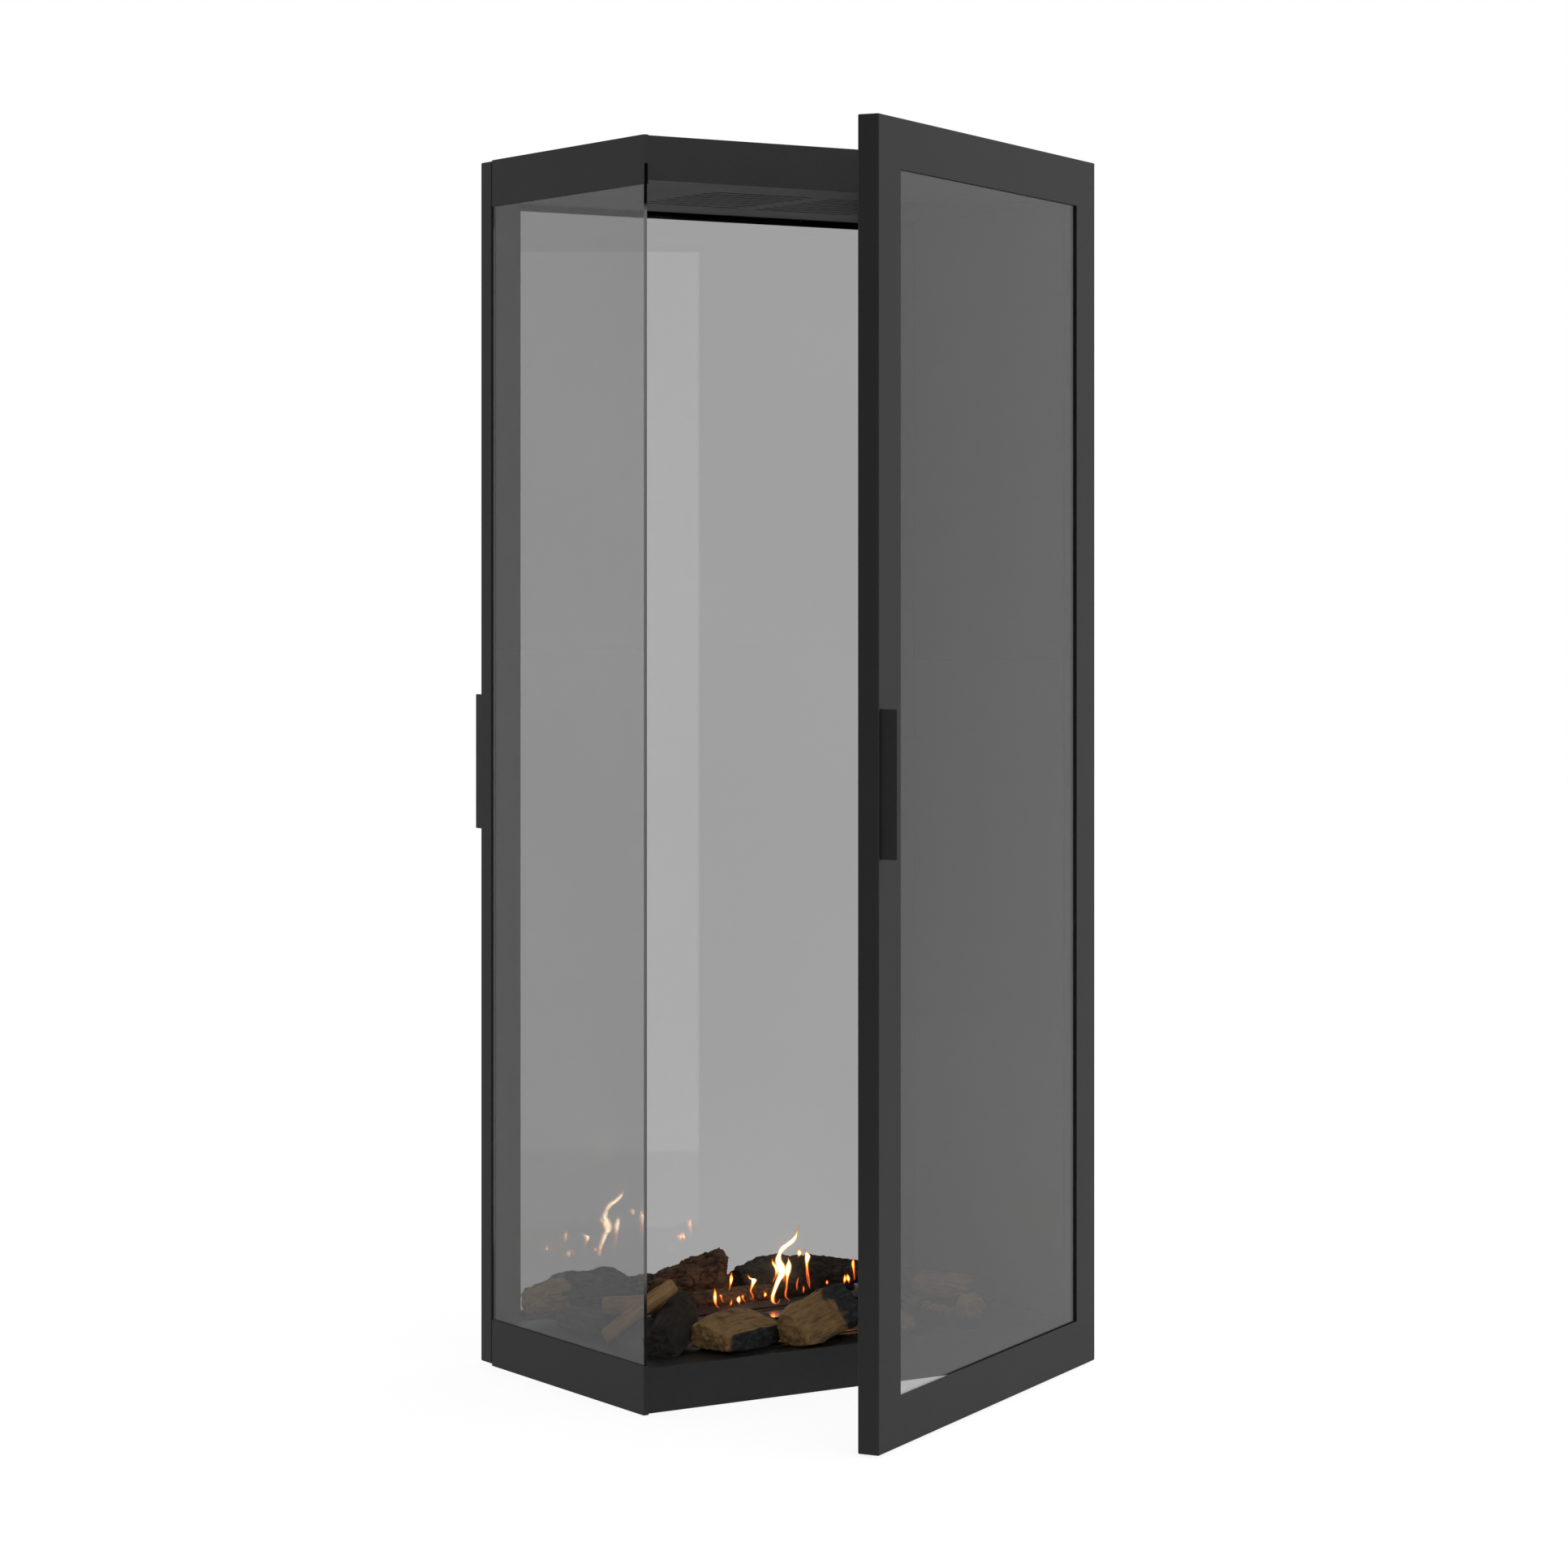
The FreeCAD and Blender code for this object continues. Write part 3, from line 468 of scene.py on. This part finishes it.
def carveSkin(body, place, look, seed, first, last):
    # moves the skin along its normals and says how burnt each point is and how much painted shade it gets in a cleft
    burnt, cleft, moved = [], [], []
    shift = Vector([seed * part for part in carving["seedWay"]])
    lump, lumpSize = look["lump"]
    crack, crackSize = look["crack"]
    fibreLength, fibreWidth = carving["fibres"]
    wanderSize, wander = carving["crackWander"]
    straySize, strayMost = carving["burnWander"]
    cleftShadeOf = carving["cleftShadeOf"]
    for v in body.verts:
        p = v.co * 1000
        broad = noise.fractal(drawnLong(p, lumpSize) + shift, look["even"], *carving["lumpOctaves"])
        fibres = noise.fractal(Vector((p.x / fibreLength, p.y / fibreWidth, p.z / fibreWidth)) + shift,
                               *carving["fibreOctaves"])
        shred = noise.fractal(p / carving["shreds"] + shift, *carving["shredOctaves"])
        shred *= ramp(abs(v.normal.x), *carving["endFacing"])
        depth = lump * (carving["lumpShare"] * broad - carving["lumpSink"]) + look["grain"] * fibres
        depth += look["torn"] * shred
        gap = 0.0
        if crack:
            wobble = noise.noise_vector(p / wanderSize + shift) * wander
            cells = noise.voronoi(drawnLong(p, crackSize) + shift + wobble)[0]
            gap = max(0.0, 1 - (cells[1] - cells[0]) / carving["crackWidth"])
            depth -= crack * gap
        moved.append(v.co + v.normal * min(depth, carving["outward"]) / 1000)
        stray = strayMost * noise.noise(p / straySize + shift * 2)
        share = (v.co.x - first) / (last - first)
        black = ramp(share + stray, *look["burnt"])
        if look["burntFront"]:
            black = max(black, ramp(-v.normal.y + 2 * stray, *carving["frontFacing"])
                        * ramp(share + stray, *carving["frontStart"]))
        burnt.append(black)
        # painted shade: darkest in cracks, less in grain hollows and torn ends, up to a cap
        cleft.append(min(carving["cleftShadeMost"], cleftShadeOf["crack"] * gap + max(0.0, -cleftShadeOf["fibres"] * fibres)
                         + cleftShadeOf["shreds"] * max(0.0, -shred)))
    for v, spot in zip(body.verts, moved):
        up = place @ spot
        up.z = max(up.z, carving["hearth"] + carving["hearthGap"])
        v.co = place.inverted() @ up
    return {"burnt": burnt, "cleft": cleft}


def carveLog(name, look, seed):
    # the CAD log is remeshed finely, drawn to its outline, then carved along its normals
    place = logFrame(nodes[name].data)
    mesh = nodes[name].data.copy()
    mesh.transform(place.inverted())
    mesh.materials.clear()
    log = bpy.data.objects.new("carved_" + name, mesh)
    scene.collection.objects.link(log)
    remesh = log.modifiers.new("fineSkin", "REMESH")
    remesh.mode = "VOXEL"
    remesh.voxel_size = carving["voxel"]
    fine = bpy.data.meshes.new_from_object(log.evaluated_get(bpy.context.evaluated_depsgraph_get()))
    log.modifiers.clear()
    log.data = fine
    body = bmesh.new()
    body.from_mesh(fine)
    for again in range(carving["smoothing"]):
        bmesh.ops.smooth_vert(body, verts=body.verts, factor=0.5, use_axis_x=True, use_axis_y=True, use_axis_z=True)
    body.normal_update()
    first, last = drawOutline(body, place, look)
    marks = carveSkin(body, place, look, seed, first, last)
    body.to_mesh(fine)
    body.free()
    for mark, values in marks.items():
        fine.attributes.new(mark, "FLOAT", "POINT").data.foreach_set("value", values)
    fine.materials.append(logSkins[look["finish"]])
    for face in fine.polygons:
        face.use_smooth = True
    log.matrix_world = place
    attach(log, "cabinet")
    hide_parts(name)
    return len(fine.polygons)


firstSeed, seedStep = carving["seeds"]
faces = sum(carveLog(name, {**plainLog, **look}, firstSeed + i * seedStep)
            for i, (name, look) in enumerate(logs.items()))
print("logs carved:", faces, "faces")

# Burning vapour on the burner's mouth: a white-hot heart inside a yellow and then an orange veil, each thinner than
# the last; the narrow parts are cooler and redder. A real flame is far brighter than white, so its reflections are
# raised to show it. Lines: depth, then across, height and width from root to tip, in millimetres.
flames = {
    "layers": {
        "flameHeart": {"toneHex": ("#d9531a", "#ffb24d", "#fff3d6"), "veil": 0.95, "strength": 19.0, "shell": 0.55},
        "flameYellow": {"toneHex": ("#b83a10", "#f07f26", "#ffcf7a"), "veil": 0.5, "strength": 6.0, "shell": 0.9},
        "flameOrange": {"toneHex": ("#8e2409", "#c9511a", "#f29a4a"), "veil": 0.25, "strength": 2.3, "shell": 1.3},
    },
    "coolest": 0.16, "mirrored": 4.0, "hotWidth": (1.5, 7.0), "flatness": 0.7, "steps": 6, "sides": 10,
    "rootPinch": (5, 0.4), "tipPinch": (4, 0.15), "rootCool": (3, 0.2),
    "lines": (
        (-5, ((-8.2, 76.8, 1.9), (-11.7, 72.3, 3.9), (-17.4, 73.9, 4.8), (-18.6, 80.7, 4.8), (-15.1, 90.0, 4.8),
              (-10.5, 99.2, 5.8), (-5.9, 106.5, 8.7), (-7.1, 115.3, 10.6), (-10.5, 124.3, 6.8), (-8.2, 131.8, 4.8),
              (-2.4, 138.1, 7.7), (6.8, 143.0, 7.7), (13.7, 149.2, 4.8), (17.2, 156.6, 2.9), (19.5, 163.2, 1.9))),
        (-2, ((7.6, 72.9, 1.5), (1.8, 79.3, 2.9), (3.0, 89.8, 2.9), (4.1, 101.3, 3.9), (5.3, 110.8, 6.8),
              (6.5, 118.5, 4.8), (5.3, 125.4, 1.9))),
        (-4, ((-17.9, 97.9, 1.9), (-13.3, 106.1, 2.9), (-12.2, 113.7, 4.8), (-16.8, 119.9, 3.9),
              (-19.1, 126.9, 1.4))),
        (0, ((0.8, 95.5, 1.5), (0.8, 103.2, 2.9), (0.8, 111.0, 3.9))),
        (-2, ((-92.0, 74.0, 1.4), (-96.5, 79.2, 2.9), (-97.6, 87.0, 4.3), (-97.6, 93.6, 3.3), (-98.8, 99.5, 1.4))),
        (-2, ((-86.3, 80.1, 1.1), (-88.6, 85.1, 2.4), (-89.7, 89.1, 3.3), (-92.0, 87.4, 1.4))),
        (2, ((-75.8, 92.9, 1.4), (-73.6, 99.4, 2.9), (-72.4, 106.0, 4.3), (-72.4, 110.8, 2.9),
             (-71.3, 114.5, 1.2))),
        (-4, ((-77.4, 75.7, 2.4), (-76.2, 79.4, 3.1), (-75.1, 84.1, 1.1))),
        (-3, ((-64.2, 76.2, 2.4), (-65.4, 82.1, 4.8), (-64.2, 86.7, 1.9))),
        (-3, ((-55.1, 77.2, 1.2), (-58.5, 81.4, 2.4), (-59.7, 85.4, 3.4), (-57.4, 87.1, 1.4))),
        (2, ((-46.2, 78.5, 1.2), (-41.6, 81.9, 2.4), (-45.0, 89.0, 2.9), (-42.7, 95.5, 3.8), (-40.5, 102.0, 5.8),
             (-46.2, 104.5, 3.8), (-49.6, 109.6, 1.9))),
        (-2, ((-28.1, 80.2, 1.9), (-27.0, 84.0, 3.9), (-28.1, 87.9, 1.4))),
        (4, ((24.3, 122.8, 1.9), (25.5, 127.5, 4.9), (24.3, 133.5, 1.9))),
        (6, ((42.0, 83.0, 1.2), (40.8, 92.8, 2.1), (38.5, 103.7, 2.9), (37.3, 113.5, 3.9), (38.5, 122.2, 5.8),
             (36.1, 128.2, 2.9), (33.8, 132.3, 1.5))),
        (4, ((39.5, 85.5, 1.0), (36.0, 98.4, 1.5), (34.8, 109.2, 1.9))),
        (2, ((20.7, 84.6, 1.5), (20.7, 92.4, 2.4), (23.0, 99.9, 1.2))),
        (0, ((28.7, 80.3, 1.5), (28.7, 85.1, 2.7), (28.7, 89.0, 1.2))),
        (6, ((91.3, 84.1, 2.0), (92.5, 89.9, 3.9), (92.5, 95.8, 2.0))),
        (6, ((98.4, 84.5, 2.0), (97.2, 90.4, 4.4), (96.0, 96.4, 2.0))),
        (8, ((108.0, 87.2, 1.5), (106.8, 98.1, 2.9), (105.6, 107.0, 3.9), (106.8, 114.7, 2.0))),
        (6, ((66.6, 85.5, 1.5), (66.6, 88.4, 3.4), (66.6, 91.4, 1.5))),
    ),
}

flameSkins = []
for name, layer in flames["layers"].items():
    flameSkin, tree = newMaterial(name)
    lick = pattern(tree, addNode(tree, "TexCoord"), {"Detail": 2.0}, 7, 14)
    hot = addNode(tree, "Attribute", {"attribute_name": "hotShare"})
    waver = addNode(tree, "Math", {"operation": "MULTIPLY_ADD", 1: 0.3, 2: -0.15}, {0: lick})
    warm = addNode(tree, "Math", {"operation": "ADD"}, {0: hot.outputs["Fac"], 1: waver.outputs["Value"]})
    tone = toneOf(tree, warm.outputs["Value"], list(zip((0.1, 0.45, 0.85), layer["toneHex"])))
    power = between(tree, warm.outputs["Value"], (flames["coolest"] * layer["strength"], layer["strength"]))
    ray = addNode(tree, "LightPath")
    mirrored = between(tree, ray.outputs["Glossy Depth"], (1.0, flames["mirrored"]))
    shown = addNode(tree, "Math", {"operation": "MULTIPLY"}, {0: power, 1: mirrored})
    burning = addNode(tree, "Emission", links={"Color": tone, "Strength": shown.outputs["Value"]})
    clear = addNode(tree, "BsdfTransparent")
    thin = addNode(tree, "MixShader", {0: layer["veil"]}, {1: clear.outputs["BSDF"], 2: burning.outputs["Emission"]})
    addNode(tree, "OutputMaterial", links={"Surface": thin.outputs["Shader"]})
    flameSkins.append(flameSkin)


def flowPoints(line, steps):
    # smooth line through the given points, with its width
    spots = [Vector(p) for p in line]
    spots = [spots[0] * 2 - spots[1]] + spots + [spots[-1] * 2 - spots[-2]]
    flow = []
    for i in range(1, len(spots) - 2):
        a, b, c, d = spots[i - 1:i + 3]
        for k in range(steps):
            t = k / steps
            flow.append(0.5 * (2 * b + (c - a) * t + (2 * a - 5 * b + 4 * c - d) * t * t
                               + (3 * b - a - 3 * c + d) * t ** 3))
    return flow + [spots[-2]]


def fullBy(share, slope, least):
    # grows evenly from the least value until it is full
    return min(1.0, slope * share + least)


fire = bmesh.new()
hotShares = []
sides = flames["sides"]
for deep, line in flames["lines"]:
    flow = flowPoints([(x, deep, z, width) for x, z, width in line], flames["steps"])
    for index, layer in enumerate(flames["layers"].values()):
        rings = []
        for i, spot in enumerate(flow):
            t = i / (len(flow) - 1)
            pinch = fullBy(t, *flames["rootPinch"]) * fullBy(1 - t, *flames["tipPinch"])
            reach = 0.5 * layer["shell"] * spot.w * pinch / 1000
            centre = spot.to_3d() / 1000
            hotShares += [ramp(spot.w * fullBy(t, *flames["rootCool"]), *flames["hotWidth"])] * sides
            ring = []
            for k in range(sides):
                angle = 2 * math.pi * k / sides
                out = Vector((math.cos(angle) * reach, math.sin(angle) * reach * flames["flatness"], 0))
                ring.append(fire.verts.new(centre + out))
            rings.append(ring)
        for low, high in zip(rings, rings[1:]):
            for k in range(sides):
                face = fire.faces.new((low[k], low[(k + 1) % sides], high[(k + 1) % sides], high[k]))
                face.material_index = index
                face.smooth = True
        for ring in (rings[0][::-1], rings[-1]):
            face = fire.faces.new(ring)
            face.material_index = index
fireMesh = bpy.data.meshes.new("burnerFlames")
fire.to_mesh(fireMesh)
fire.free()
fireMesh.attributes.new("hotShare", "FLOAT", "POINT").data.foreach_set("value", hotShares)
for flameSkin in flameSkins:
    fireMesh.materials.append(flameSkin)
burnerFlames = bpy.data.objects.new("burnerFlames", fireMesh)
scene.collection.objects.link(burnerFlames)
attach(burnerFlames, "cabinet")
print("flames lit:", len(flames["lines"]))
